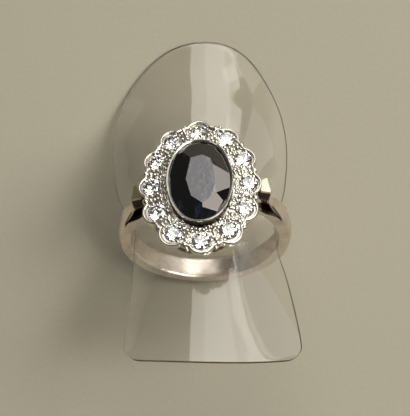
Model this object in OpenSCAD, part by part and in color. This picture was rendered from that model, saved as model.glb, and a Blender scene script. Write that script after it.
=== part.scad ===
// Oval cluster ring: one oval centre stone in a plain rub-over collet, twelve round
// stones in a scalloped halo, a low gallery and split shoulders, held on a clear bent tongue.
// Built upright about the finger hole, then leaned over to the pose in which it rests.

/* [Finger hoop] */
// Inside diameter of the hoop
finger_d = 17.2; // [15:0.1:20]
// Width of the band along the finger
band_w = 2.5; // [2:0.1:3.5]
// Thickness of the band at the palm and the sides
band_t = 1.6; // [1.2:0.05:2]
// Radius of the gentle dome across the outside of the band
band_dome_r = 3; // [2.5:0.1:5]
// Radius that eases the outer corners of the band
band_corner_r = 1.5; // [1.4:0.05:1.6]
// Thickness of the thin band that runs on under the head
under_band_t = 0.75; // [0.5:0.05:0.9]

/* [Shoulders] */
// Angle from the head at which the full band stops
shoulder_angle = 57; // [52:1:62]
// Angle from the head at which the arm parts from the thin band
split_angle = 64; // [60:1:70]
// Thickness of the arm below the leaf
arm_t = 0.6; // [0.4:0.05:0.9]
// Width of the arm where it leaves the band
arm_root_w = 2.2; // [1.6:0.1:2.5]
// Width of the arm below the leaf
arm_neck_w = 1.2; // [0.8:0.1:1.8]
// Distance of the leaf's flat outer face from the middle of the ring
leaf_x = 7.75; // [7.5:0.05:8.3]
// Length of the leaf from tip to tip
leaf_l = 3.2; // [2.4:0.1:4]
// Height of the leaf
leaf_h = 0.8; // [0.5:0.05:1.2]
// Radius of the hollows that make the leaf pointed
leaf_hollow_r = 1.45; // [1.2:0.05:1.8]

/* [Head] */
// Height of the underside of the gallery rail above the finger axis
rail_z = 9; // [8.9:0.05:9.6]
// Height of the gallery rail
rail_h = 0.5; // [0.3:0.05:0.7]
// Thickness of the halo's wall behind the recessed line
wall_t = 0.5; // [0.4:0.05:0.8]
// Height of the recessed line between the rail and the halo
groove_h = 0.35; // [0.2:0.05:0.5]
// Depth of that line behind the rail
groove_d = 0.3; // [0.1:0.05:0.4]
// Height of the halo plate under the stones
plate_h = 0.65; // [0.5:0.05:0.9]
// Height of the scalloped rim above the plate
rim_h = 0.35; // [0.2:0.05:0.5]

/* [Halo] */
// Number of round stones
halo_count = 12; // [12:1:12]
// Half width of the oval through the middles of the scallops
halo_half_w = 5.5; // [5.4:0.01:5.6]
// Half length of that oval
halo_half_l = 7.25; // [7.2:0.01:7.4]
// Outer radius of each scallop
scallop_r = 1.47; // [1.45:0.01:1.6]
// Wall thickness of each scallop's rim
scallop_t = 0.34; // [0.25:0.01:0.4]
// How far the floor of a notch lies inside the scallops
notch_d = 0.68; // [0.6:0.02:0.9]
// Radius of the grain in each outer notch
outer_grain_r = 0.42; // [0.35:0.01:0.5]
// Radius of the small grain between two stones
middle_grain_r = 0.24; // [0.2:0.01:0.28]
// Radius of the grain beside the collet
inner_grain_r = 0.32; // [0.2:0.01:0.34]

/* [Round stones] */
// Diameter of each round stone
round_d = 2.1; // [1.8:0.05:2.12]
// Shift of each stone from its scallop's middle toward the centre stone
round_shift = 0.04; // [0:0.01:0.15]
// Crown height of a round stone
round_crown = 0.3; // [0.2:0.01:0.4]
// Pavilion depth of a round stone
round_pavilion = 0.86; // [0.7:0.01:0.9]
// Table width of a round stone as a share of its diameter
round_table = 0.57; // [0.5:0.01:0.65]

/* [Centre stone] */
// Width of the centre stone
centre_w = 7.16; // [7:0.02:7.2]
// Length of the centre stone
centre_l = 10.5; // [10.4:0.02:10.6]
// Height of the centre stone's girdle above the finger axis
centre_girdle_z = 11.45; // [11.4:0.01:11.5]
// Crown height of the centre stone
centre_crown = 0.95; // [0.7:0.05:1.2]
// Pavilion depth of the centre stone
centre_pavilion = 1.85; // [1.5:0.05:1.9]
// Table width of the centre stone as a share of its width
centre_table = 0.55; // [0.5:0.01:0.65]
// Height of the collet's top edge above the finger axis
collet_top = 12; // [11.9:0.05:12.2]
// Wall thickness of the collet outside the stone
collet_t = 0.24; // [0.2:0.01:0.3]

/* [Display tongue] */
// Thickness of the clear sheet
sheet_t = 0.4; // [0.3:0.05:0.6]
// Distance from the ring to the rounded end
sheet_far = 24.6; // [22:0.1:25]
// Distance from the ring to the square end
sheet_near = 17.8; // [17:0.1:18.4]
// How far the square end bows out in the middle
sheet_bow = 1.5; // [0:0.1:2]
// How far the square end's right corner stands out and its left corner back
sheet_skew = 0.4; // [0:0.1:1]
// Distance from the ring at which the rounded end starts to narrow
dome_start = 9; // [8:0.5:10]
// Fullness of the rounded end, where 2 is an ellipse
dome_power = 2.3; // [2:0.1:3]
// Corner radius of the square end
corner_r = 1.9; // [1:0.1:4]

/* [Pose] */
// Lean of the ring where it rests on the band's edge and the tongue's rounded end
lean = 30; // [30:1:30]

/* [Hidden] */
$fn = 64;

// Clearance between a stone and its seat
stone_gap = 0.04;
// Overlap that joins soldered pieces
solder = 0.05;
inner_r = finger_d / 2;
outer_r = inner_r + band_t;

// Heights of the head, from the rail up
groove_z = rail_z + rail_h;
plate_z = groove_z + groove_h;
plate_top = plate_z + plate_h;
round_girdle_z = plate_top - 0.06;
collet_foot = 8.45;

// Gallery and halo outlines, measured outward from the middle of the round stones
gallery_out = scallop_r - notch_d;
wall_out = gallery_out - groove_d;

// End radii of the two ovals
halo_end_r = 4.15;
stone_end_r = 2.88;

// Seat of the centre stone: step under it, depth of the step, lip over it, height of the lip
bearing_w = 0.45;
bearing_z = 0.35;
lip_w = 0.06;
lip_z = 0.2;

// Heights at which the arm turns from the band toward the leaf
arm_turn_z = 7;
arm_top_z = rail_z + 0.2;

// Where the dome and the eased corner of the band meet: the lowest edge when it rests
dome_mid = outer_r - band_dome_r;
corner_mid = inner_r + 0.4;
edge_r = (band_dome_r * band_dome_r - band_corner_r * band_corner_r
          - dome_mid * dome_mid + corner_mid * corner_mid)
         / (2 * (corner_mid - dome_mid));
edge_y = sqrt(band_corner_r * band_corner_r - (edge_r - corner_mid) * (edge_r - corner_mid));
rest_height = edge_r * cos(lean) + edge_y * sin(lean);

// Shifts that bring the middle of the whole thing over the origin
rest_shift_x = 0.16;
rest_shift_y = -4.38;

// Equal spacing round the halo: length along the oval against the angle that draws it
angle_step = 3;
function halo_point(t, grow) = [(halo_half_w + grow) * sin(t), (halo_half_l + grow) * cos(t)];
function halo_stretch(t) = norm(halo_point(t + angle_step, 0) - halo_point(t, 0));
halo_lengths = [
  for (t = 0, s = 0; t <= 360; s = s + halo_stretch(t), t = t + angle_step) [s, t]
];
halo_round = halo_lengths[len(halo_lengths) - 1][0];
function halo_angle(k) = lookup(halo_round * (k / halo_count), halo_lengths);
function outward(t) =
  let (n = [halo_half_l * sin(t), halo_half_w * cos(t)]) n / norm(n);
function halo_place(k, out) = halo_point(halo_angle(k), 0) + outward(halo_angle(k)) * out;

// Sections of the tongue: place along it, half width, sideways shift, bend radius and crown height
PLACE = 0;
HALF = 1;
SHIFT = 2;
BEND = 3;
CROWN = 4;
tongue_sections = [
  [-18.4, 10.15,  0.75, 22.0, 5.0],
  [-14.0,  9.8,   0.7,  17.0, 5.2],
  [ -8.0,  9.05,  0.45, 12.5, 5.4],
  [ -3.5,  8.5,   0.08,  9.6, 5.35],
  [ -1.3,  8.38,  0,     9.2, 5.25],
  [  1.3,  8.38,  0,     9.2, 5.15],
  [  3.2,  9.15, -0.2,  10.2, 5.05],
  [  5.5, 10.0,  -0.4,  12.0, 4.9],
  [  9.0, 10.5,  -0.45, 15.0, 4.6],
  [ 14.0, 10.65, -0.45, 17.0, 4.2],
  [ 20.0, 10.65, -0.35, 16.5, 3.72],
  [ 24.6, 10.65,  0.2,  16.5, 4.2]
];

// Smooth reading of one column of the table between its rows
function column(c) = [for (row = tongue_sections) row[c]];
function below(a) = max([for (i = [0 : len(tongue_sections) - 2]) if (tongue_sections[i][PLACE] <= a) i]);
function slope(c, i) =
  let (last = len(tongue_sections) - 1, lo = max(i - 1, 0), hi = min(i + 1, last), v = column(c), p = column(PLACE))
  (v[hi] - v[lo]) / (p[hi] - p[lo]);
function read_at(c, a) =
  let (
    i = below(a), p = column(PLACE), v = column(c), w = p[i + 1] - p[i], u = (a - p[i]) / w,
    m0 = slope(c, i) * w, m1 = slope(c, i + 1) * w
  )
  (2 * u ^ 3 - 3 * u ^ 2 + 1) * v[i] + (u ^ 3 - 2 * u ^ 2 + u) * m0
  + (3 * u ^ 2 - 2 * u ^ 3) * v[i + 1] + (u ^ 3 - u ^ 2) * m1;

// Rounding of the two ends, as a share or a loss of the half width
function dome_share(a) =
  a <= dome_start ? 1
  : max(0, 1 - ((a - dome_start) / (sheet_far - dome_start)) ^ dome_power) ^ (1 / dome_power);
function corner_loss(a) =
  let (from_end = a + sheet_near)
  from_end >= corner_r ? 0 : corner_r - sqrt(max(0, corner_r ^ 2 - (corner_r - from_end) ^ 2));
function half_width(a) = read_at(HALF, a) * dome_share(a) - corner_loss(a);

// One section of the tongue as a row of points on its outer face, or deeper by its thickness
across = 18;
function tongue_face(a, depth) =
  let (
    r = read_at(BEND, a), crown = read_at(CROWN, a), spread = asin(half_width(a) / r),
    full_share = half_width(a) / read_at(HALF, a),
    near_share = max(0, -a - sheet_near / 2) / (sheet_near / 2)
  )
  [for (i = [0 : across])
    let (side = 2 * i / across - 1, t = spread * side, out = full_share * side)
    [
      read_at(SHIFT, a) + (r - depth) * sin(t),
      a - near_share * (sheet_bow * (1 - out ^ 2) + sheet_skew * out),
      crown - r + (r - depth) * cos(t)
    ]];

// Stations along the tongue, closer together where its ends round off
tongue_stations = concat(
  [for (i = [0 : 6]) -sheet_near + corner_r * (1 - cos(i * 15))],
  [for (a = [-14 : 2 : 14]) a],
  [for (i = [0 : 12]) 15 + (sheet_far - 15.02) * sin(i * 7.5)]
);

module upright_from_y() rotate([90, 0, 0]) children();

module at_rest()
  translate([rest_shift_x, rest_shift_y, rest_height]) rotate([-lean, 0, 0]) children();

// Four-arc oval outline: half width b, half length a, end radius r, all grown by g
module oval(b, a, r, g) {
  side_r = ((a - r) * (a - r) + b * b - r * r) / (2 * (b - r));
  tangent_y = (a - r) * (1 + r / (side_r - r));
  intersection() {
    translate([side_r - b, 0]) circle(side_r + g);
    translate([b - side_r, 0]) circle(side_r + g);
    square([4 * a, 2 * tangent_y + 2 * g * (a - r) / (side_r - r)], center = true);
  }
  for (side = [-1, 1]) translate([0, side * (a - r)]) circle(r + g);
}

module halo_oval(grow) oval(halo_half_w, halo_half_l, halo_end_r, grow);
module stone_oval(grow) oval(centre_w / 2, centre_l / 2, stone_end_r, grow);

module plate(z, h) translate([0, 0, z]) linear_extrude(h) children();

module band(thickness)
  upright_from_y() rotate_extrude() intersection() {
    translate([inner_r, -band_w / 2]) square([thickness, band_w]);
    translate([dome_mid, 0]) circle(band_dome_r);
    translate([corner_mid, 0]) circle(band_corner_r);
  }

module full_band() {
  reach = 2 * outer_r;
  rise = reach / tan(shoulder_angle);
  difference() {
    band(band_t);
    translate([0, band_w, 0]) upright_from_y() linear_extrude(2 * band_w)
      polygon([[0, 0], [reach, rise], [reach, reach], [-reach, reach], [-reach, rise]]);
  }
}

// The arm seen along the finger, as a tapering strip that leaves the band at a tangent
module arm_side_view() {
  root_drop = 0.12;
  step_drop = 0.35;
  top_x = leaf_x - 0.25;
  polygon([
    (outer_r - arm_t) * [sin(split_angle), cos(split_angle)],
    (outer_r - root_drop) * [sin(split_angle), cos(split_angle)],
    (outer_r - step_drop) * [sin(shoulder_angle), cos(shoulder_angle)],
    [leaf_x - solder, arm_turn_z], [top_x, arm_top_z],
    [top_x - arm_t, arm_top_z], [leaf_x - 2 * solder - arm_t, arm_turn_z]
  ]);
}

module arm_front_view() {
  root_z = outer_r * cos(split_angle) - 0.5;
  neck_z = arm_turn_z + 0.2;
  polygon([
    [-arm_root_w / 2, root_z], [arm_root_w / 2, root_z],
    [arm_neck_w / 2, neck_z], [arm_neck_w / 2, arm_top_z],
    [-arm_neck_w / 2, arm_top_z], [-arm_neck_w / 2, neck_z]
  ]);
}

// The leaf seen from above: a flat outer face, two hollows and a stem that meets the gallery
module leaf() {
  stem_x = halo_half_w + 0.4;
  stem_half = 0.3;
  edge = 0.22;
  tip_l = 0.7;
  trim = [1.3, leaf_l - 2 * tip_l + 1];
  plate(rail_z - leaf_h / 2 - 0.1, leaf_h) difference() {
    translate([stem_x, -leaf_l / 2]) square([leaf_x - stem_x, leaf_l]);
    for (side = [-1, 1]) {
      translate([leaf_x - edge - leaf_hollow_r, side * (leaf_hollow_r + stem_half)])
        circle(leaf_hollow_r);
      translate([halo_half_w, side * (leaf_l / 2 + 0.5)]) square(trim, center = true);
    }
  }
}

module shoulder() {
  intersection() {
    translate([0, band_w, 0]) upright_from_y() linear_extrude(2 * band_w) arm_side_view();
    rotate([90, 0, 90]) linear_extrude(outer_r) arm_front_view();
  }
  leaf();
}

// Scallops of a given radius round the halo
module scallops(r) for (k = [0 : halo_count - 1]) translate(halo_place(k, 0)) circle(r);

module gallery() {
  plate(rail_z, rail_h) halo_oval(gallery_out);
  plate(groove_z - solder, groove_h + 2 * solder) halo_oval(wall_out);
}

module halo() {
  plate(plate_z, plate_h) {
    halo_oval(gallery_out);
    scallops(scallop_r);
  }
  difference() {
    plate(plate_top - solder, rim_h + solder) difference() {
      scallops(scallop_r);
      scallops(scallop_r - scallop_t);
    }
    plate(plate_top - 2 * solder, rim_h + 4 * solder) halo_oval(0.1);
  }
}

module grain(k, out, r)
  translate(concat(halo_place(k + 0.5, out), [plate_top])) sphere(r, $fn = 24);

module grains() {
  outer_row = gallery_out - 0.12;
  inner_row = -0.85;
  for (k = [0 : halo_count - 1]) {
    grain(k, outer_row, outer_grain_r);
    grain(k, 0, middle_grain_r);
    grain(k, inner_row, inner_grain_r);
  }
}

module collet() plate(collet_foot, collet_top - collet_foot) stone_oval(stone_gap + collet_t);

// Hollow that takes a round stone: a straight wall, a cone and a hole for light
module round_seat() {
  seat_r = round_d / 2 + stone_gap;
  hole_r = 0.45;
  cone_top = -0.1;
  cone_foot = -0.62;
  rotate_extrude() polygon([
    [0, -plate_z], [hole_r, -plate_z], [hole_r, cone_foot],
    [seat_r, cone_top], [seat_r, plate_z], [0, plate_z]
  ]);
}

module centre_hollow() {
  plate(centre_girdle_z - bearing_z, bearing_z + lip_z) stone_oval(stone_gap);
  plate(centre_girdle_z, outer_r) stone_oval(-lip_w);
  plate(inner_r / 2, centre_girdle_z - inner_r / 2) stone_oval(-bearing_w);
}

module under_hollow() plate(rail_z - 1, plate_z - rail_z + 1) difference() {
  halo_oval(wall_out - wall_t);
  stone_oval(collet_t);
}

module ring_metalwork() color("gold") {
  at_rest() {
    full_band();
    band(under_band_t);
    difference() {
      union() {
        gallery();
        halo();
      }
      under_hollow();
      for (k = [0 : halo_count - 1])
        translate(concat(halo_place(k, -round_shift), [round_girdle_z])) round_seat();
      plate(inner_r / 2, outer_r) stone_oval(0);
    }
    grains();
    difference() {
      union() {
        collet();
        shoulder();
        mirror([1, 0, 0]) shoulder();
      }
      centre_hollow();
      upright_from_y() cylinder(h = 4 * inner_r, r = inner_r + 2 * solder, center = true);
    }
  }
}

// Brilliant cut with a round plan of radius 1, drawn to half sizes: table, stars, kites,
// upper halves, a thin girdle, lower halves and pavilion mains
module brilliant(half_w, half_l, table_share, crown_h, girdle_h, pavilion_h) {
  star_r = (table_share + 1) / 2 * 1.02;
  star_z = girdle_h / 2 + crown_h * (1 - star_r * cos(22.5)) / (1 - table_share);
  half_r = 0.22;
  half_z = -girdle_h / 2 - pavilion_h * (1 - half_r * cos(22.5));
  function spot(r, t, z) = [half_w * r * sin(t), half_l * r * cos(t), z];
  points = concat(
    [for (i = [0 : 7]) spot(table_share, 45 * i, girdle_h / 2 + crown_h)],
    [for (i = [0 : 7]) spot(star_r, 45 * i + 22.5, star_z)],
    [for (i = [0 : 15]) spot(1, 22.5 * i, girdle_h / 2)],
    [for (i = [0 : 15]) spot(1, 22.5 * i, -girdle_h / 2)],
    [for (i = [0 : 7]) spot(half_r, 45 * i + 22.5, half_z)],
    [[0, 0, -girdle_h / 2 - pavilion_h]]
  );
  table = 0;
  star = 8;
  upper = 16;
  lower = 32;
  half = 48;
  culet = 56;
  faces = concat(
    [[for (i = [0 : 7]) table + i]],
    [for (i = [0 : 7]) [table + i, star + i, table + (i + 1) % 8]],
    [for (i = [0 : 7]) [table + i, star + (i + 7) % 8, upper + 2 * i, star + i]],
    [for (i = [0 : 7]) [star + i, upper + 2 * i, upper + 2 * i + 1]],
    [for (i = [0 : 7]) [star + i, upper + 2 * i + 1, upper + (2 * i + 2) % 16]],
    [for (i = [0 : 15]) [upper + i, lower + i, lower + (i + 1) % 16, upper + (i + 1) % 16]],
    [for (i = [0 : 7]) [lower + 2 * i, half + i, lower + 2 * i + 1]],
    [for (i = [0 : 7]) [lower + 2 * i + 1, half + i, lower + (2 * i + 2) % 16]],
    [for (i = [0 : 7]) [lower + 2 * i, half + (i + 7) % 8, culet, half + i]]
  );
  polyhedron(points = points, faces = [for (f = faces) [for (i = [len(f) - 1 : -1 : 0]) f[i]]]);
}

module sapphire() color("midnightblue") at_rest()
  translate([0, 0, centre_girdle_z])
    brilliant(centre_w / 2, centre_l / 2, centre_table, centre_crown, 0.1, centre_pavilion);

module diamond(k) color("whitesmoke") at_rest()
  translate(concat(halo_place(k, -round_shift), [round_girdle_z]))
    rotate([0, 0, -halo_angle(k)])
      brilliant(round_d / 2, round_d / 2, round_table, round_crown, 0.05, round_pavilion);

module display_tongue() color("lightgray") at_rest() {
  rows = len(tongue_stations);
  side = across + 1;
  points = concat(
    [for (a = tongue_stations) each tongue_face(a, 0)],
    [for (a = tongue_stations) each tongue_face(a, sheet_t)]
  );
  under = rows * side;
  faces = concat(
    [for (j = [0 : rows - 2]) for (i = [0 : across - 1]) each [
      [j * side + i, (j + 1) * side + i, (j + 1) * side + i + 1],
      [j * side + i, (j + 1) * side + i + 1, j * side + i + 1]
    ]],
    [for (j = [0 : rows - 2]) for (i = [0 : across - 1]) each [
      [under + j * side + i, under + (j + 1) * side + i + 1, under + (j + 1) * side + i],
      [under + j * side + i, under + j * side + i + 1, under + (j + 1) * side + i + 1]
    ]],
    [for (j = [0 : rows - 2]) for (i = [0, across])
      let (a = j * side + i, b = (j + 1) * side + i)
      i == 0 ? [a, under + a, under + b, b] : [a, b, under + b, under + a]],
    [for (j = [0, rows - 1]) for (i = [0 : across - 1])
      let (a = j * side + i)
      j == 0 ? [a, a + 1, under + a + 1, under + a] : [a, under + a, under + a + 1, a + 1]]
  );
  polyhedron(points = points, faces = faces);
}

ring_metalwork();
sapphire();
display_tongue();
diamond(0);  // diamond_01
diamond(1);  // diamond_02
diamond(2);  // diamond_03
diamond(3);  // diamond_04
diamond(4);  // diamond_05
diamond(5);  // diamond_06
diamond(6);  // diamond_07
diamond(7);  // diamond_08
diamond(8);  // diamond_09
diamond(9);  // diamond_10
diamond(10);  // diamond_11
diamond(11);  // diamond_12
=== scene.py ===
"""Oval sapphire and diamond cluster ring, held on the bent clear tongue that displays it."""
import math
import random

import bmesh
import bpy
from mathutils import Matrix, Vector


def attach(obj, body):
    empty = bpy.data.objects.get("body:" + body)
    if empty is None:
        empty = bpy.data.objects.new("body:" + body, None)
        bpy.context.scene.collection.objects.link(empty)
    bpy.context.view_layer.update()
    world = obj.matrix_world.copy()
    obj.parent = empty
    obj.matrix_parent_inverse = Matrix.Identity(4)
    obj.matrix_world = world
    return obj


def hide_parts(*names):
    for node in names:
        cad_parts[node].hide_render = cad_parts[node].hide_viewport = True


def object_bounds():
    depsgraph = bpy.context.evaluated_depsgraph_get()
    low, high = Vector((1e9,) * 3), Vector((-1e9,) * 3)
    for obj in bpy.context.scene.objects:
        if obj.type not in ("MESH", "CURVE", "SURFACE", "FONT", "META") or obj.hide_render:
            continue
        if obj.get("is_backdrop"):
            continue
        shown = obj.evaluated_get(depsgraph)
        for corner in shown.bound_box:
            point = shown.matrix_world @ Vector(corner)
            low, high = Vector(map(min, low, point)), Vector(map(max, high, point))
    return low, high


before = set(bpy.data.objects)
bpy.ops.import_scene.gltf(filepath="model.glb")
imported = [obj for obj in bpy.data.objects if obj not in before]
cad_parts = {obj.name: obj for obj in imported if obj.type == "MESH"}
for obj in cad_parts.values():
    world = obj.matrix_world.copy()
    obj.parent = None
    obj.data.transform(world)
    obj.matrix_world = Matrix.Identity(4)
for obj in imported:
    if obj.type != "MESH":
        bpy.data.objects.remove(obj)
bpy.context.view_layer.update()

# Camera: the ring was photographed from straight above with a long lens, a little to the
# right of its middle, with the camera turned by about two degrees.
MM = 0.001
finger_hole_middle = Vector((0.16, -4.38, 9.208)) * MM
camera_place = finger_hole_middle + Vector((7.1, -0.52, 200)) * MM
camera_aim = finger_hole_middle + Vector((0.13, 2.85, 0)) * MM
camera_turn = math.radians(2.19)

back = (camera_place - camera_aim).normalized()
right = Vector((math.cos(camera_turn), -math.sin(camera_turn), 0))
right = (right - right.dot(back) * back).normalized()
up = back.cross(right)
lens = bpy.data.cameras.new("camera")
lens.sensor_fit = "VERTICAL"
lens.sensor_height = 36
lens.lens = 147.2
lens.clip_start = 0.02
lens.clip_end = 10
camera = bpy.data.objects.new("camera", lens)
camera.matrix_world = Matrix.Translation(camera_place) @ Matrix((right, up, back)).transposed().to_4x4()
bpy.context.scene.collection.objects.link(camera)
bpy.context.scene.camera = camera

# Finger hoop: a cast band of warm white gold, flat inside and gently domed outside, filed
# thin where it runs on under the head. It leans on the edge of its palm side.
LEAN = math.radians(30)
RING = Matrix.Translation(finger_hole_middle) @ Matrix.Rotation(-LEAN, 4, "X") @ Matrix.Scale(MM, 4)


def srgb(hex_colour):
    """An sRGB hex colour as Blender's linear red, green, blue and 1."""
    parts = [int(hex_colour[i:i + 2], 16) / 255 for i in (1, 3, 5)]
    return tuple(c / 12.92 if c <= 0.04045 else ((c + 0.055) / 1.055) ** 2.4 for c in parts) + (1,)


def node(tree, kind, sockets, **settings):
    """Adds one shader node. Each socket, by name or number, gets a value or a link from an output."""
    made = tree.nodes.new("ShaderNode" + kind)
    for name, value in settings.items():
        setattr(made, name, value)
    for name, value in sockets.items():
        if isinstance(value, bpy.types.NodeSocket):
            tree.links.new(value, made.inputs[name])
        else:
            made.inputs[name].default_value = value
    return made


def finish_of(name):
    """An empty material, with its tree and a position read in millimetres."""
    material = bpy.data.materials.new(name)
    material.use_nodes = True
    tree = material.node_tree
    tree.nodes.clear()
    place = node(tree, "TexCoord", {}).outputs["Object"]
    in_mm = node(tree, "VectorMath", {0: place, "Scale": 1 / MM}, operation="SCALE")
    return material, tree, in_mm.outputs[0]


def polished_gold(name, colour, recess_dirt_and_shade_colour, roughness, own_corners=False):
    """Gold alloy, hand polished and worn: a mirror under fine hairlines, dull in the recesses, where the
    corners are darkened with dirt and painted shade.
    """
    material, tree, mm = finish_of(name)
    clean, dirt_and_shade_colour = srgb(colour), srgb(recess_dirt_and_shade_colour)
    # Corners within 0.5 mm of another face darken toward the recess colour: polishing dirt that a mop can't
    # reach, and painted shade
    corners = node(tree, "AmbientOcclusion", {"Distance": 0.5 * MM}, samples=8, only_local=own_corners)
    dirt_and_shade = node(tree, "MapRange", {0: corners.outputs["AO"], 1: 0.15, 2: 0.75, 3: 1.0, 4: 0.0})
    # Cloudy wear in patches of 1.5 mm and hairlines of 0.05 mm
    cloud = node(tree, "TexNoise", {"Vector": mm, "Scale": 0.7, "Detail": 3.0})
    drawn = node(tree, "Mapping", {"Vector": mm, "Scale": (3.0, 22.0, 3.0)})
    hair = node(tree, "TexNoise", {"Vector": drawn.outputs[0], "Scale": 1.0, "Detail": 2.0})
    uneven = node(tree, "MapRange", {0: cloud.outputs[0], 1: 0.35, 2: 0.7, 3: 0.0, 4: 0.35})
    worn = node(tree, "Mix", {0: uneven.outputs[0], 6: clean, 7: dirt_and_shade_colour}, data_type="RGBA")
    tone = node(tree, "Mix", {0: dirt_and_shade.outputs[0], 6: worn.outputs[2], 7: dirt_and_shade_colour}, data_type="RGBA")
    gloss = node(tree, "MapRange", {
        0: hair.outputs[0], 1: 0.3, 2: 0.7, 3: roughness - 0.05, 4: roughness + 0.1})
    dull = node(tree, "Math", {0: dirt_and_shade.outputs[0], 1: 0.3, 2: gloss.outputs[0]}, operation="MULTIPLY_ADD")
    relief = node(tree, "Bump", {"Height": hair.outputs[0], "Strength": 0.25, "Distance": 0.01 * MM})
    shader = node(tree, "BsdfPrincipled", {
        "Base Color": tone.outputs[2], "Metallic": 1.0, "Roughness": dull.outputs[0],
        "Normal": relief.outputs[0]})
    node(tree, "OutputMaterial", {"Surface": shader.outputs[0]})
    return material


def piece(name, points, faces, material, sharp=32):
    """A named piece from points in the ring's own millimetres: across, along the finger, up."""
    mesh = bpy.data.meshes.new(name)
    mesh.from_pydata([RING @ Vector(p) for p in points], [], faces)
    shell = bmesh.new()
    shell.from_mesh(mesh)
    bmesh.ops.recalc_face_normals(shell, faces=shell.faces)
    shell.to_mesh(mesh)
    shell.free()
    mesh.shade_smooth()
    # An edge that turns by more than this stays crisp
    mesh.set_sharp_from_angle(angle=math.radians(sharp))
    mesh.materials.append(material)
    made = bpy.data.objects.new(name, mesh)
    bpy.context.scene.collection.objects.link(made)
    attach(made, "root")
    return made


def skin(rings, looped):
    """Joins rows of points into a skin, closed over its ends unless the rows come round again."""
    count, rows = len(rings[0]), len(rings)
    points = [p for ring in rings for p in ring]
    faces = [
        (j * count + i, j * count + (i + 1) % count,
         (j + 1) % rows * count + (i + 1) % count, (j + 1) % rows * count + i)
        for j in range(rows if looped else rows - 1) for i in range(count)
    ]
    if not looped:
        faces += [tuple(range(count)), tuple(range((rows - 1) * count, rows * count))]
    return points, faces


def ease(low, high, value):
    """0 below the low end, 1 above the high end, and smooth between."""
    share = min(1, max(0, (value - low) / (high - low)))
    return share * share * (3 - 2 * share)


BORE_R = 8.6
BAND_T = 1.6
UNDER_T = 0.75
BAND_HALF_W = 1.25
DOME_R = 3
FLANK_R = 1.5
HOOP_STEPS = 288
STEP_DEGREES = 360 / HOOP_STEPS
SECTION_STEPS = 24
# The band thins between these degrees from the head, under the shoulders
THIN_FROM = 66
THIN_TO = 50.5
# The joint where the hoop was cut and sized shows as a faint line left of the palm
SEAM_STEP = 177
SEAM_DEPTH = 0.03


def band_section(thickness):
    """Section of the band as (radius, place along the finger), flat inside and domed outside."""
    outer, inner = [], []
    for i in range(SECTION_STEPS + 1):
        y = BAND_HALF_W * math.sin(math.pi * (i / SECTION_STEPS - 0.5))
        dome = BORE_R + BAND_T - DOME_R + math.sqrt(DOME_R ** 2 - y * y)
        flank = BORE_R + 0.4 + math.sqrt(FLANK_R ** 2 - y * y)
        # Where the band is thin it is flat outside too, with eased edges
        thinned = BORE_R + thickness - 0.12 * (y / BAND_HALF_W) ** 8
        outer.append((min(dome, flank, thinned), y))
        # The finger side is eased only at its two edges
        inner.append((BORE_R + 0.1 * abs(y / BAND_HALF_W) ** 10, -y))
    return outer[1:-1] + inner


band_rows = []
for step in range(HOOP_STEPS):
    degrees = step * STEP_DEGREES
    from_head = min(degrees, 360 - degrees)
    thickness = UNDER_T + (BAND_T - UNDER_T) * ease(THIN_TO, THIN_FROM, from_head)
    turn = math.radians(degrees)
    sunk = SEAM_DEPTH if step == SEAM_STEP else 0
    row = []
    for r, y in band_section(thickness):
        # Both faces sink a little at the seam
        r += math.copysign(sunk, BORE_R + thickness / 2 - r)
        row.append((r * math.sin(turn), y, r * math.cos(turn)))
    band_rows.append(row)

# White gold with a little copper: a warm mirror, worn satin on the side that the finger rubs.
# The clear film lies too near the band to count as a corner of it.
warm_gold = polished_gold("worn_rose_white_gold", "#F2E6DA", "#8E7C6A", roughness=0.14, own_corners=True)
satin_gold = polished_gold("finger_worn_gold", "#F4EAE0", "#A08F7E", roughness=0.3, own_corners=True)
# The same gold painted dark brown as shade: the splits under the shoulders, between these degrees from the
# head, and a little further along the edge toward the palm
painted_shade_gold = polished_gold("painted_shade_white_gold", "#41362F", "#231C18", roughness=0.25)
SHADE_FROM = 46
SHADE_TO = 60
SHADE_EDGE_TO = 67
EDGE_FACES = 5

band = piece("finger_band", *skin(band_rows, True), warm_gold)
band.data.materials.append(painted_shade_gold)
band.data.materials.append(satin_gold)
for k, face in enumerate(band.data.polygons):
    row, place = divmod(k, len(band_rows[0]))
    from_head = min(row, HOOP_STEPS - row) * STEP_DEGREES
    if place >= SECTION_STEPS - 1:
        face.material_index = 2
    # Faces in the splits are painted dark as shade
    elif SHADE_FROM < from_head < (SHADE_EDGE_TO if place < EDGE_FACES else SHADE_TO):
        face.material_index = 1
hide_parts("ring_metalwork")

# Shoulders: two tapering arms that leave the band at a tangent and rise beside the head,
# soldered over the split that the thin band leaves under them.


def bar(width, height, corner, steps=5):
    """Section of a bar with eased corners, as (across, up) from its middle."""
    corners = ((1, 1), (-1, 1), (-1, -1), (1, -1))
    return [
        (sx * (width / 2 - corner) + corner * math.cos((q + i / steps) * math.pi / 2),
         sy * (height / 2 - corner) + corner * math.sin((q + i / steps) * math.pi / 2))
        for q, (sx, sy) in enumerate(corners) for i in range(steps + 1)
    ]


def bend(points, share):
    """Place and direction on the curve that four points pull into shape."""
    a, b, c, d = (Vector(p) for p in points)
    rest = 1 - share
    spot = a * rest ** 3 + b * 3 * rest ** 2 * share + c * 3 * rest * share ** 2 + d * share ** 3
    run = (b - a) * rest ** 2 + (c - b) * 2 * rest * share + (d - c) * share ** 2
    return spot, run.normalized()


# Each arm's middle line, across and up, from the band to the leaf
arm_line = [(9.4, 3.0), (8.75, 4.85), (7.5, 6.5), (7.3, 8.55)]
ARM_STEPS = 40
ARM_CORNER = 0.26
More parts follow.
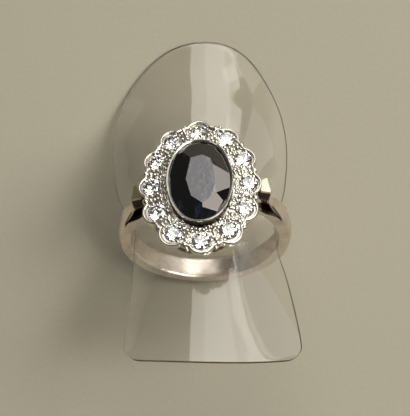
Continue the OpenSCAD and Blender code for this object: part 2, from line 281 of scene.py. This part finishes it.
# Each arm narrows and thins on its way from the band
ARM_W = 2.44
ARM_NARROWING = 1.29
ARM_T = 0.62
ARM_THINNING = 0.1
for side, name in ((1, "shoulder_right"), (-1, "shoulder_left")):
    rows = []
    for step in range(ARM_STEPS + 1):
        share = step / ARM_STEPS
        (x, z), (run_x, run_z) = bend(arm_line, share)
        width = ARM_W - ARM_NARROWING * ease(0.12, 0.72, share)
        thick = ARM_T - ARM_THINNING * ease(0.2, 0.8, share)
        rows.append([
            (side * (x + v * run_z), u, z - v * run_x)
            for u, v in bar(width, thick, ARM_CORNER)
        ])
    arm = piece(name, *skin(rows, False), warm_gold)

# Leaves: small fishtails of yellow gold that cap the arms and meet the gallery. A graver has
# cut a valley across the middle of each, and both tips stand up from it.
TIP_ROWS = 15
# From the stem along the hollow's curve to the tip, as (inner edge, place along the finger)
leaf_edge = [(5.6, 0.0), (5.6, 0.29)]
for i in range(TIP_ROWS):
    t = math.radians(86 - 84 * i / (TIP_ROWS - 1))
    leaf_edge.append((7.48 - 1.45 * math.sin(t) ** 1.2, 1.5 - 1.2 * (1 - math.cos(t)) ** 0.6))


def leaf_section(inner, place):
    """Section of a leaf at a place along the finger, with eased edges and a top that falls outward."""
    outer, foot = 7.96 - 0.26 * abs(place), 8.5
    middle, half = (inner + outer) / 2, (outer - inner) / 2
    section = []
    for u, v in bar(2, 2, 0.25, 3):
        x = middle + u * half
        top = 8.95 + 0.33 * abs(place) - 0.34 * (x - 6.6)
        section.append((x, place, foot + (top - foot) * (v + 1) / 2))
    return section


# Yellow gold left as the file and the graver cut it, so it glows rather than mirrors
pale_yellow_gold = polished_gold("worn_yellow_gold", "#CFC4A4", "#5A4A34", roughness=0.38)
leaf_rows = [leaf_section(x, -place) for x, place in reversed(leaf_edge)]
leaf_rows += [leaf_section(x, place) for x, place in leaf_edge[1:]]
# Filed by hand, the left leaf sits 0.3 mm nearer the palm than the right one
for side, shift, name in ((1, 0, "leaf_right"), (-1, -0.3, "leaf_left")):
    rows = [[(side * x, y + shift, z) for x, y, z in row] for row in leaf_rows]
    leaf = piece(name, *skin(rows, False), pale_yellow_gold)
    leaf.data.materials.append(painted_shade_gold)
    for k, face in enumerate(leaf.data.polygons):
        # The tip on the palm side is painted dark as shade, down to its valley
        face.material_index = 1 if k // len(leaf_rows[0]) < TIP_ROWS else 0

# Gallery: a yellow gold rail under the halo, with a recessed line above it that shows dark
# from the side. It follows an oval drawn with four arcs.


def oval_walk(half_w, half_l, end_r, count):
    """Even places round a four-arc oval, clockwise from its top, each with its outward direction."""
    side_r = ((half_l - end_r) ** 2 + half_w ** 2 - end_r ** 2) / (2 * (half_w - end_r))
    turn = math.atan2(side_r - half_w, half_l - end_r)
    arcs = (
        (0, half_l - end_r, end_r, 0, turn),
        (half_w - side_r, 0, side_r, turn, math.pi - turn),
        (0, end_r - half_l, end_r, math.pi - turn, math.pi + turn),
        (side_r - half_w, 0, side_r, math.pi + turn, 2 * math.pi - turn),
        (0, half_l - end_r, end_r, 2 * math.pi - turn, 2 * math.pi),
    )
    whole = sum(r * (stop - start) for _, _, r, start, stop in arcs)
    walk = []
    for i in range(count):
        left = whole * i / count
        for x, y, r, start, stop in arcs:
            if left <= r * (stop - start):
                t = start + left / r
                out = Vector((math.sin(t), math.cos(t)))
                walk.append((Vector((x, y)) + r * out, out))
                break
            left -= r * (stop - start)
    return walk


def run_round(walk, section):
    """Runs a closed section, as (outward, up), round an oval."""
    return skin([[(*(spot + out * u), v) for u, v in section] for spot, out in walk], True)


# Yellow gold, a touch duller than the white: it shows as a warm line under the halo
yellow_gold = polished_gold("polished_yellow_gold", "#DCC59A", "#6A5130", roughness=0.15)
HALO_HALF_W = 5.5
HALO_HALF_L = 7.25
HALO_END_R = 4.15
halo_walk = oval_walk(HALO_HALF_W, HALO_HALF_L, HALO_END_R, 180)
rail_section = [
    (0.1, 8.92), (0.3, 8.9), (0.7, 8.91), (0.84, 8.97), (0.91, 9.1), (0.91, 9.24), (0.86, 9.38),
    (0.76, 9.48), (0.72, 9.56), (0.7, 9.64), (0.7, 9.8), (0.72, 9.98), (0.6, 9.98), (0.2, 9.3),
]
rail = piece("gallery_rail", *run_round(halo_walk, rail_section), yellow_gold)

# Halo: a plate of white gold pierced for twelve stones, with a thin raised rim bent round
# each petal. The petals are handmade, so the lower ones stand out a little further.


def domed(x, y):
    """How far the halo's dome lifts a place above the flat plate, or drops it toward the rim."""
    return 1 - math.hypot(x / HALO_HALF_W, y / HALO_HALF_L)


def eased_plate(name, outlines, low, high, edge, material):
    """A plate with eased edges and any holes, cut from flat outlines in the ring's plan."""
    sheet = bpy.data.curves.new(name, "CURVE")
    sheet.dimensions = "2D"
    sheet.fill_mode = "BOTH"
    sheet.extrude = (high - low) / 2 - edge
    sheet.bevel_depth = edge
    sheet.bevel_resolution = 2
    sheet.offset = -edge
    for outline in outlines:
        line = sheet.splines.new("POLY")
        line.points.add(len(outline) - 1)
        line.use_cyclic_u = True
        for spot, (x, y) in zip(line.points, outline):
            spot.co = (x, y, 0, 1)
    cutter = bpy.data.objects.new(name + "_outline", sheet)
    bpy.context.scene.collection.objects.link(cutter)
    bpy.context.view_layer.update()
    mesh = bpy.data.meshes.new_from_object(cutter.evaluated_get(bpy.context.evaluated_depsgraph_get()))
    bpy.data.objects.remove(cutter)
    shell = bmesh.new()
    shell.from_mesh(mesh)
    bpy.data.meshes.remove(mesh)
    for v in shell.verts:
        v.co.z += (low + high) / 2
    # The curve's flat faces and its walls come apart, so they are joined along their edges
    bmesh.ops.remove_doubles(shell, verts=shell.verts, dist=0.0005)
    shell.verts.index_update()
    points = [(v.co.x, v.co.y, v.co.z + domed(v.co.x, v.co.y)) for v in shell.verts]
    faces = [tuple(v.index for v in f.verts) for f in shell.faces]
    shell.free()
    return piece(name, points, faces, material)


# Polished white gold: the brightest mirror of the ring
white_gold = polished_gold("polished_white_gold", "#F0ECE3", "#6E6152", roughness=0.12)
PLATE_LOW = 9.9
PLATE_HIGH = 10.48
PLATE_EASE = 0.05
PETAL_R = 1.47
SEAT_R = 1.07
COLLET_HOLE = (3.5, 5.17, 2.8)
# The oval that the notches between the petals reach in to
NOTCH_HALF_W = 6.36
NOTCH_HALF_L = 8.11
OUTLINE_STEPS = 720
# Clockwise from the top, with how far each petal stands out beyond the first ones
petal_names = ["diamond_%02d" % n for n in range(1, 13)]
petal_grow = [0.0, 0.0, 0.0, 0.0, 0.08, 0.2, 0.06, 0.24, 0.14, 0.03, 0.02, 0.0]
to_ring = RING.inverted()
# Each petal: its middle, its outward direction, its radius and its stone's place
petals = []
for name, grow in zip(petal_names, petal_grow):
    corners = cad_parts[name].data.vertices
    middle = to_ring @ (sum((v.co for v in corners), Vector()) / len(corners))
    spot = Vector((middle.x, middle.y))
    out = Vector((spot.x / HALO_HALF_W ** 2, spot.y / HALO_HALF_L ** 2)).normalized()
    petals.append((spot + out * (0.04 + grow * 0.5), out, PETAL_R + grow * 0.5, spot))

halo_outline = []
for i in range(OUTLINE_STEPS):
    t = i * math.pi / (OUTLINE_STEPS / 2)
    ray = Vector((math.sin(t), math.cos(t)))
    reach = (1 / ((ray.x / NOTCH_HALF_W) ** 2 + (ray.y / NOTCH_HALF_L) ** 2)) ** 0.5
    for spot, _, radius, _ in petals:
        along = spot.dot(ray)
        aside = spot.length_squared - along * along
        if along > 0 and aside < radius * radius:
            reach = max(reach, along + math.sqrt(radius * radius - aside))
    halo_outline.append(tuple(ray * (reach - PLATE_EASE)))
seat_circle = [SEAT_R * Vector((math.sin(i * math.pi / 24), math.cos(i * math.pi / 24))) for i in range(48)]
outlines = [halo_outline, [tuple(spot) for spot, _ in oval_walk(*COLLET_HOLE, 96)]]
outlines += [[tuple(stone + spot) for spot in seat_circle] for _, _, _, stone in petals]
halo_plate = eased_plate("halo_plate", outlines, PLATE_LOW, PLATE_HIGH, PLATE_EASE, white_gold)

RIM_T = 0.3
RIM_H = 0.9
rim_rows = []
for i, spot in enumerate(halo_outline):
    before, after = Vector(halo_outline[i - 1]), Vector(halo_outline[(i + 1) % len(halo_outline)])
    along = (after - before).normalized()
    middle = Vector(spot) + Vector((-along.y, along.x)) * (PLATE_EASE - RIM_T / 2)
    low = PLATE_LOW + domed(*middle)
    rim_rows.append([
        (middle.x - along.y * u, middle.y + along.x * u, low + RIM_H / 2 + v)
        for u, v in bar(RIM_T, RIM_H, 0.14, 4)
    ])
rim = piece("scalloped_rim", *skin(rim_rows, True), white_gold, sharp=50)

# Collet: a straight wall of white gold, soldered into the halo and rubbed over the sapphire's
# edge, which leaves a thin bright lip all round.
collet_section = [
    (-0.16, 11.6), (-0.13, 11.68), (-0.06, 11.77), (0.03, 11.84), (0.11, 11.86), (0.17, 11.84), (0.2, 11.78),
    (0.2, 11.7), (0.2, 10.8), (0.22, 10.68), (0.3, 10.58), (0.42, 10.52), (0.48, 10.3),
    (0.28, 10.2), (0.28, 8.6), (0.24, 8.47), (0.1, 8.45), (-0.3, 8.45), (-0.42, 8.5),
    (-0.45, 8.65), (-0.45, 11.0), (-0.35, 11.12), (0.04, 11.3), (0.04, 11.54),
]
SETTING_OVAL = (3.58, 5.25, 2.88)
# The faces of the wall under the lip, painted dark for the shadow the lip casts
SHADED_WALL = (7, 8, 9)
collet = piece("collet", *run_round(oval_walk(*SETTING_OVAL, 128), collet_section), white_gold)
collet.data.materials.append(painted_shade_gold)
for k, face in enumerate(collet.data.polygons):
    face.material_index = 1 if k % len(collet_section) in SHADED_WALL else 0

# Grains: beads of white gold raised from the plate with a graver, large ones between the
# petals, small ones pushed over each diamond's edge and round the collet's foot.
random.seed(7)
GRAIN_SIDES = 10
GRAIN_ROWS = 8
grain_points, grain_faces = [], []


def add_grain(spot, radius):
    """One bead on the halo's face, slightly uneven as a graver leaves it."""
    rows = []
    foot = PLATE_HIGH + domed(*spot)
    tall = radius * random.uniform(0.9, 1.15)
    for j in range(1, GRAIN_ROWS):
        t = math.pi * j / GRAIN_ROWS
        rows.append([
            (spot.x + radius * math.sin(t) * math.cos(math.tau * i / GRAIN_SIDES),
             spot.y + radius * math.sin(t) * math.sin(math.tau * i / GRAIN_SIDES),
             foot + tall * math.cos(t))
            for i in range(GRAIN_SIDES)
        ])
    points, faces = skin(rows, False)
    grain_faces.extend(tuple(i + len(grain_points) for i in f) for f in faces)
    grain_points.extend(points)


# Beads in each gap between two stones: how far out, how far aside, radius
gap_beads = (
    (0.86, 0, 0.4), (0.3, 0, 0.3), (-0.16, 0, 0.22), (-0.52, 0, 0.22), (-0.88, 0.3, 0.26),
    (-0.88, -0.3, 0.26))
for k, (_, out, _, stone) in enumerate(petals):
    _, after_out, _, after = petals[(k + 1) % len(petals)]
    between_out = (out + after_out).normalized()
    between = (stone + after) / 2 + between_out * 0.12
    along = Vector((between_out.y, -between_out.x))
    for reach, aside, radius in gap_beads:
        add_grain(between + between_out * reach + along * aside, radius)
    # Beads pushed over the stone's edge, by their degrees round it from its outermost place
    for bearing in (58, 90, 122, 154, 206, 238, 270, 302):
        t = math.radians(bearing + random.uniform(-7, 7))
        ray = Vector((out.x * math.cos(t) + out.y * math.sin(t), out.y * math.cos(t) - out.x * math.sin(t)))
        add_grain(stone + ray * random.uniform(1.12, 1.2), random.uniform(0.17, 0.25))
# Beads round the collet's foot
for spot, out in oval_walk(*SETTING_OVAL, 58):
    add_grain(spot + out * random.uniform(0.44, 0.56), random.uniform(0.14, 0.22))
# What is left of the plate is stippled, clear of the stones
STIPPLES = 520
for _ in range(STIPPLES):
    t, reach = random.uniform(0, math.tau), random.uniform(0.7, 1.17)
    spot = Vector((HALO_HALF_W * reach * math.sin(t), HALO_HALF_L * reach * math.cos(t)))
    if all((spot - stone).length > 1.3 for _, _, _, stone in petals):
        add_grain(spot, random.uniform(0.14, 0.26))
grains = piece("grains", grain_points, grain_faces, white_gold, sharp=60)

# Sapphire: a natural corundum so dark that it is nearly black, cut by hand with an uneven
# eight-sided table and flat facets. Each facet is one plane, as a lap leaves it.


def lapped_gem(name, walk, facets, material, low, high, girdle_z):
    """A stone ground from an oval blank by a list of facets, each a point and a direction."""
    shell = bmesh.new()
    rows = [[shell.verts.new((*spot, z)) for spot, _ in walk] for z in (low, high)]
    for i in range(len(walk)):
        j = (i + 1) % len(walk)
        shell.faces.new((rows[0][i], rows[0][j], rows[1][j], rows[1][i]))
    shell.faces.new(rows[0])
    shell.faces.new(rows[1])
    for point, normal in facets:
        ground = bmesh.ops.bisect_plane(
            shell, geom=shell.verts[:] + shell.edges[:] + shell.faces[:], plane_co=Vector(point),
            plane_no=Vector(normal).normalized(), clear_outer=True, dist=1e-5)
        edges = [e for e in ground["geom_cut"] if isinstance(e, bmesh.types.BMEdge)]
        if edges:
            bmesh.ops.edgeloop_fill(shell, edges=edges)
    shell.verts.index_update()
    points = [tuple(v.co + Vector((0, 0, girdle_z))) for v in shell.verts]
    faces = [tuple(v.index for v in f.verts) for f in shell.faces]
    shell.free()
    return piece(name, points, faces, material, sharp=1)


def polished_gem(name, colour, ior, roughness, wear):
    """A transparent stone polished by a lap: a mirror that bends light strongly, with some wear."""
    material, tree, mm = finish_of(name)
    # Rubbed patches of 0.7 mm
    rub = node(tree, "TexNoise", {"Vector": mm, "Scale": 1.4, "Detail": 4.0})
    relief = node(tree, "Bump", {"Height": rub.outputs[0], "Strength": wear, "Distance": 0.05 * MM})
    shader = node(tree, "BsdfPrincipled", {
        "Base Color": srgb(colour), "IOR": ior, "Transmission Weight": 1.0,
        "Roughness": roughness, "Normal": relief.outputs[0]})
    node(tree, "OutputMaterial", {"Surface": shader.outputs[0]})
    return material


TABLE_Z = 0.95
GIRDLE_HALF_W = 3.56
GIRDLE_HALF_L = 5.23
girdle_walk = oval_walk(GIRDLE_HALF_W, GIRDLE_HALF_L, 2.88, 96)


def girdle_reach(out):
    """How far the stone's edge reaches in a direction."""
    return max(spot.dot(out) for spot, _ in girdle_walk)


table_corners = [
    (-0.94, 2.55), (0.36, 2.9), (1.48, 2.28), (1.75, -0.97),
    (1.15, -2.72), (0.31, -3.42), (-0.94, -2.44), (-1.51, -0.24),
]
facets = [((0, 0, TABLE_Z), (0, 0, 1))]
for i, (x, y) in enumerate(table_corners):
    next_x, next_y = table_corners[(i + 1) % len(table_corners)]
    edge = Vector((next_x - x, next_y - y))
    out = Vector((-edge.y, edge.x)).normalized()
    reach = girdle_reach(out) - Vector((x, y)).dot(out)
    # From each side of the table down to the girdle. The two at the lower right fall less.
    fall = {3: 0.06, 4: 0.42}.get(i, (TABLE_Z - 0.08) / (reach * 1.04))
    facets.append(((x, y, TABLE_Z), (*(out * fall), 1)))
for i, (x, y) in enumerate(table_corners):
    # Under each corner of the table, except at the lower right
    if i not in (3, 4, 5):
        out = Vector((x / GIRDLE_HALF_W ** 2, y / GIRDLE_HALF_L ** 2)).normalized()
        facets.append(((*(out * (girdle_reach(out) - 0.1)), 0.1), (*(out * 0.53), 0.85)))
# Facets ground by eye on the right side: bearing, reach at the table's height, fall per mm
for bearing, reach, fall in (
        (72, 1.95, 0.52), (100, 2.19, 0.53), (128, 3.44, 1.1), (152.7, 3.3, 0.52), (172, 3.6, 0.48)):
    t = math.radians(bearing)
    out = Vector((math.sin(t), math.cos(t)))
    facets.append(((*(out * reach), TABLE_Z), (*(out * fall), 1)))
# Eight pavilion facets close the stone below
for i in range(8):
    t = math.radians(45 * i + 32)
    out = Vector((math.sin(t) / GIRDLE_HALF_W, math.cos(t) / GIRDLE_HALF_L)).normalized()
    reach = girdle_reach(out)
    facets.append(((*(out * (reach - 0.02)), -0.05), (*(out * 1.5), -reach * 0.72)))
# Polished and a little rubbed: near black, with mirror glints on its facets
sapphire_finish = polished_gem("dark_sapphire", "#0A0D1A", ior=1.8, roughness=0.02, wear=0.35)
sapphire = lapped_gem(
    "sapphire_stone", girdle_walk, facets, sapphire_finish, low=-1.85, high=1.2, girdle_z=11.45)
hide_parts("sapphire")

# Diamonds: twelve round brilliants of 2.1 mm, colourless, each with 57 flat facets. They are
# set by hand, so each one is turned and tips a little its own way.
GIRDLE_R = 1.05


def brilliant_cut():
    """Points and faces of a round brilliant about its girdle's middle."""
    table_r, star_r, half_r = 0.63 * GIRDLE_R, 0.82 * GIRDLE_R, 0.22 * GIRDLE_R
    # Heights of the crown and the pavilion, and half the girdle's
    crown, pavilion, girdle = 0.28, 0.89, 0.025

    def row(radius, height, count, offset):
        """Points round the stone, turned by an offset in degrees."""
        return [
            (radius * math.sin(math.radians(i * 360 / count + offset)),
             radius * math.cos(math.radians(i * 360 / count + offset)), height)
            for i in range(count)
        ]

    star_z = girdle + crown * (1 - star_r / GIRDLE_R * math.cos(math.pi / 8)) / (1 - table_r / GIRDLE_R)
    half_z = -girdle - pavilion * (1 - half_r / GIRDLE_R * math.cos(math.pi / 8))
    points = (row(table_r, girdle + crown, 8, 0) + row(star_r, star_z, 8, 22.5)
              + row(GIRDLE_R, girdle, 16, 0) + row(GIRDLE_R, -girdle, 16, 0)
              + row(half_r, half_z, 8, 22.5) + [(0, 0, -girdle - pavilion)])
    star, upper, lower, half, culet = 8, 16, 32, 48, 56
    faces = [tuple(range(8))]
    for i in range(8):
        after, before = (i + 1) % 8, (i + 7) % 8
        rim, rim_mid, rim_after = 2 * i, 2 * i + 1, (2 * i + 2) % 16
        faces += [
            (i, star + i, after),
            (i, star + before, upper + rim, star + i),
            (star + i, upper + rim, upper + rim_mid),
            (star + i, upper + rim_mid, upper + rim_after),
            (upper + rim, lower + rim, lower + rim_mid, upper + rim_mid),
            (upper + rim_mid, lower + rim_mid, lower + rim_after, upper + rim_after),
            (lower + rim, half + i, lower + rim_mid),
            (lower + rim_mid, half + i, lower + rim_after),
            (lower + rim, half + before, culet, half + i),
        ]
    return points, faces


# Colourless and unworn: all that shows is what its facets bend and mirror
diamond_finish = polished_gem("colourless_diamond", "#FFFFFF", ior=2.42, roughness=0.0, wear=0.0)
SEAT_Z = 10.5
cut_points, cut_faces = brilliant_cut()
brilliants = []
for name, (_, out, _, stone) in zip(petal_names, petals):
    across = Vector((out.y, -out.x, 0))
    # Each leans outward with the dome, by about 9 degrees
    tip = Matrix.Rotation(math.radians(-9 + random.uniform(-4, 4)), 4, across)
    tip @= Matrix.Rotation(math.radians(random.uniform(-4, 4)), 4, (*out, 0))
    tip @= Matrix.Rotation(random.uniform(0, math.tau), 4, "Z")
    seat = Matrix.Translation((*stone, SEAT_Z + domed(*stone))) @ tip
    points = [seat @ Vector(p) for p in cut_points]
    gem = piece("brilliant_" + name[-2:], points, cut_faces, diamond_finish, sharp=1)
    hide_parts(name)
    brilliants.append(gem)

# Display tongue: one strip of clear polyester film, 0.4 mm thick, die cut with a rounded and
# a square end and sprung through the hoop, which bends it into an arch.
SHEET_T = 0.4
# How far the strip reaches on either side of the hoop
SHEET_FAR = 24.6
SHEET_NEAR = 17.8
# How far the square end bows out in its middle, and how far it leans to one side
SHEET_BOW = 1.5
SHEET_SKEW = 0.4
CORNER_R = 1.9
# The far end rounds off beyond this place, fuller than an ellipse
ROUND_FROM = 9
ROUND_POWER = 2.3
# Points across the film
ACROSS = 65
# Place along the tongue, half width, sideways shift, bend radius, crown height
tongue_sections = [
    (-18.4, 10.15, 0.75, 22.0, 5.0),
    (-14.0, 9.8, 0.7, 17.0, 5.2),
    (-8.0, 9.05, 0.45, 12.5, 5.4),
    (-3.5, 8.5, 0.08, 9.6, 5.35),
    (-1.3, 8.38, 0.0, 9.2, 5.25),
    (1.3, 8.38, 0.0, 9.2, 5.15),
    (3.2, 9.15, -0.2, 10.2, 5.05),
    (5.5, 10.0, -0.4, 12.0, 4.9),
    (9.0, 10.5, -0.45, 15.0, 4.6),
    (14.0, 10.65, -0.45, 17.0, 4.2),
    (20.0, 10.65, -0.35, 16.5, 3.72),
    (24.6, 10.65, 0.2, 16.5, 4.2),
]


def read_section(column, place):
    """Smooth reading of one column of the sections at a place along the tongue."""
    last = len(tongue_sections) - 1
    i = max(j for j in range(last) if tongue_sections[j][0] <= place or j == 0)

    def slope(k):
        low, high = tongue_sections[max(k - 1, 0)], tongue_sections[min(k + 1, last)]
        return (high[column] - low[column]) / (high[0] - low[0])

    start, stop = tongue_sections[i], tongue_sections[i + 1]
    width = stop[0] - start[0]
    u = (place - start[0]) / width
    return ((2 * u ** 3 - 3 * u ** 2 + 1) * start[column] + (u ** 3 - 2 * u ** 2 + u) * slope(i) * width
            + (3 * u ** 2 - 2 * u ** 3) * stop[column] + (u ** 3 - u ** 2) * slope(i + 1) * width)


def tongue_half_width(place):
    """Half the width of the film, with its dome at the far end and its corners at the near one."""
    half = read_section(1, place)
    if place > ROUND_FROM:
        share = (place - ROUND_FROM) / (SHEET_FAR - ROUND_FROM)
        half *= max(0, 1 - share ** ROUND_POWER) ** (1 / ROUND_POWER)
    from_end = place + SHEET_NEAR
    if from_end < CORNER_R:
        half -= CORNER_R - math.sqrt(max(0, CORNER_R ** 2 - (CORNER_R - from_end) ** 2))
    return half


def tongue_row(place, depth):
    """One row of points across the film, at a depth under its outer face."""
    radius, crown, shift = (read_section(column, place) for column in (3, 4, 2))
    half = tongue_half_width(place)
    spread = math.asin(half / radius)
    # The square end is bowed, and the film is twisted a little the other way at each end
    near = max(0, -place - SHEET_NEAR / 2) / (SHEET_NEAR / 2)
    twist = 0.045 * (ease(4, 12, place) - ease(4, 12, -place))
    row = []
    for i in range(ACROSS):
        side = i / (ACROSS // 2) - 1
        t = spread * side
        out = side * half / read_section(1, place)
        row.append((
            shift + (radius - depth) * math.sin(t),
            place - near * (SHEET_BOW * (1 - out * out) + SHEET_SKEW * out),
            crown - radius + (radius - depth) * math.cos(t) + twist * half * side * (1 - side * side)))
    return row


# Rows close together at both ends, 0.6 mm apart between them
tongue_places = [-SHEET_NEAR + CORNER_R * (1 - math.cos(math.radians(i * 6))) for i in range(16)]
tongue_places += [CORNER_R - SHEET_NEAR + i * 0.6 for i in range(1, 42)]
tongue_places += [
    ROUND_FROM + (SHEET_FAR - 0.02 - ROUND_FROM) * math.sin(math.radians(i * 3)) for i in range(31)]
tongue_points = []
for depth in (0, SHEET_T):
    for place in tongue_places:
        tongue_points += tongue_row(place, depth)

# Faces of the film: its two glossy sides, then its four cut edges
under = len(tongue_places) * ACROSS
film_sides, film_edges = [], []
for start in range(0, under - ACROSS, ACROSS):
    for a in range(start, start + ACROSS - 1):
        corners = (a, a + 1, a + ACROSS + 1, a + ACROSS)
        film_sides += [corners, tuple(under + c for c in reversed(corners))]
    for a in (start, start + ACROSS - 1):
        film_edges.append((a, a + ACROSS, under + a + ACROSS, under + a))
for start in (0, under - ACROSS):
    film_edges += [(a, a + 1, under + a + 1, under + a) for a in range(start, start + ACROSS - 1)]


def clear_film():
    """Clear polyester film: glossy on both faces, and a shadow that the film barely dims."""
    material, tree, mm = finish_of("clear_polyester_film")
    # A slow ripple about 8 mm long
    ripple = node(tree, "TexNoise", {"Vector": mm, "Scale": 0.12, "Detail": 1.0})
    relief = node(tree, "Bump", {"Height": ripple.outputs[0], "Strength": 0.3, "Distance": 0.3 * MM})
    film = node(tree, "BsdfPrincipled", {
        "Base Color": srgb("#FDFCFC"), "IOR": 1.57, "Transmission Weight": 1.0,
        "Roughness": 0.05, "Normal": relief.outputs[0]})
    # The light that the film bends onto the paper adds to this, so the shadow ends up faint
    through = node(tree, "BsdfTransparent", {"Color": srgb("#A7A6A0")})
    lamp = node(tree, "LightPath", {}).outputs["Is Shadow Ray"]
    both = node(tree, "MixShader", {0: lamp, 1: film.outputs[0], 2: through.outputs[0]})
    node(tree, "OutputMaterial", {"Surface": both.outputs[0]})
    return material


def cut_edge():
    """The film's cut edge, frosted by the die and painted dark so that it shows as a thin line of shade."""
    material, tree, mm = finish_of("cut_edge_painted_shade")
    # Fine ridges left by the die, 0.25 mm apart
    ridges = node(tree, "TexNoise", {"Vector": mm, "Scale": 4.0, "Detail": 2.0})
    # The dark tint paints the shade that the edge shows
    tint = node(tree, "Mix", {
        0: ridges.outputs[0], 6: srgb("#4E483B"), 7: srgb("#6E6757")}, data_type="RGBA")
    shader = node(tree, "BsdfPrincipled", {
        "Base Color": tint.outputs[2], "IOR": 1.57, "Transmission Weight": 0.2, "Roughness": 0.5})
    node(tree, "OutputMaterial", {"Surface": shader.outputs[0]})
    return material


tongue = piece("clear_tongue", tongue_points, film_sides + film_edges, clear_film())
tongue.data.materials.append(cut_edge())
for face in list(tongue.data.polygons)[len(film_sides):]:
    face.material_index = 1
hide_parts("display_tongue")

# Studio: a plain warm grey paper in a dim room. A tall window stands beyond the head, and a
# softbox on the right is the key light, with a pale curtain and a ceiling lamp between them.
# Uncoated paper hardly shines, and its fibres make a faint fleck of 0.4 mm.
paper, tree, mm = finish_of("warm_grey_paper")
fibre = node(tree, "TexNoise", {"Vector": mm, "Scale": 2.5, "Detail": 3.0})
tint = node(tree, "Mix", {0: fibre.outputs[0], 6: srgb("#A19C8B"), 7: srgb("#ABA594")}, data_type="RGBA")
matt = node(tree, "BsdfPrincipled", {"Base Color": tint.outputs[2], "Roughness": 0.85})
node(tree, "OutputMaterial", {"Surface": matt.outputs[0]})
floor_mesh = bpy.data.meshes.new("paper_floor")
FLOOR_HALF = 1.5
floor_corners = [(x * FLOOR_HALF, y * FLOOR_HALF, 0) for x, y in ((-1, -1), (1, -1), (1, 1), (-1, 1))]
floor_mesh.from_pydata(floor_corners, [], [(0, 1, 2, 3)])
floor_mesh.materials.append(paper)
floor = bpy.data.objects.new("paper_floor", floor_mesh)
bpy.context.scene.collection.objects.link(floor)
floor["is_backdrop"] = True

# In metres, and a white with a touch of warmth
LAMP_DISTANCE = 0.8
DAYLIGHT = "#FFFCF5"


def soft_light(name, bearing, height, size, radiance, colour=DAYLIGHT):
    """A rectangular light that faces the ring. Its bearing runs clockwise from straight beyond the head."""
    light = bpy.data.lights.new(name, "AREA")
    light.shape = "RECTANGLE"
    light.size, light.size_y = size
    light.energy = radiance * math.pi * size[0] * size[1]
    light.color = srgb(colour)[:3]
    lamp = bpy.data.objects.new(name, light)
    b, h = math.radians(bearing), math.radians(height)
    way = Vector((math.sin(b) * math.cos(h), math.cos(b) * math.cos(h), math.sin(h)))
    facing = way.to_track_quat("Z", "Y").to_matrix().to_4x4()
    lamp.matrix_world = Matrix.Translation(way * LAMP_DISTANCE) @ facing
    bpy.context.scene.collection.objects.link(lamp)
    return lamp


def light_only(lamp, parts, state="INCLUDE"):
    """Makes a lamp light these pieces alone, or with EXCLUDE everything but these."""
    lit = bpy.data.collections.new(lamp.name)
    for part in parts:
        lit.objects.link(part)
    lamp.light_linking.receiver_collection = lit
    for entry in lit.collection_objects:
        entry.light_linking.link_state = state


# Each row: name, bearing, height, size in metres, radiance
for name, bearing, height, size, radiance in (
        ("window", 8.7, 36, (0.57, 0.8), 1.75),
        ("bright_sky", 9, 36, (0.26, 0.8), 0.9),
        ("pale_curtain", 46, 18, (0.36, 0.5), 0.7),
        ("ceiling_lamp", 95, 64, (0.2, 0.2), 18.0),
        ("softbox", 75, 45, (0.38, 0.38), 8.0)):
    lamp = soft_light(name, bearing, height, size, radiance)
    # A facet at the lower right of the sapphire faces the curtain and yet shows dark
    if name == "pale_curtain":
        light_only(lamp, [sapphire], "EXCLUDE")
    # The palm, behind the film, doesn't mirror the brightest strip of sky
    lamp.visible_transmission = name != "bright_sky"
# A lamp that shows only through clear things: the glint in the palm
palm_glint = soft_light("palm_glint", 25, 24, (0.24, 0.24), 1.7)
palm_glint.visible_glossy = False
palm_glint.visible_diffuse = False
# The room's small lights, each received by one part alone so that it leaves no spot on the film
for name, lit, bearing, height, size, radiance, colour in (
        ("table_glint", [sapphire], -3, 30, 0.16, 0.6, "#EFEAFF"),
        ("star_glint", [sapphire], 8, 32, 0.08, 2.4, "#FFF6EA"),
        ("right_glint", [sapphire], 38, 12, 0.16, 3.6, "#FFF6EA"),
        ("lower_glint", [sapphire], 50, 53, 0.16, 4.6, "#FFF0E4"),
        ("high_sparkle", brilliants, 20, 62, 0.3, 2.5, "#FFFAF2"),
        ("right_sparkle", brilliants, 75, 50, 0.3, 4.0, "#FFFAF2"),
        ("left_sparkle", brilliants + [collet], -60, 55, 0.2, 2.2, "#FFF2E4"),
        ("low_sparkle", brilliants, 150, 60, 0.2, 4.0, "#FFFAF2")):
    light_only(soft_light(name, bearing, height, (size, size), radiance, colour), lit)
# Beyond the lamps the room is dim and slightly warm
room = bpy.data.worlds.new("dim_room")
room.use_nodes = True
room.node_tree.nodes["Background"].inputs["Color"].default_value = srgb("#FFFBF2")
room.node_tree.nodes["Background"].inputs["Strength"].default_value = 0.1
bpy.context.scene.world = room
bpy.context.scene.view_settings.view_transform = "Standard"

low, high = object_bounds()
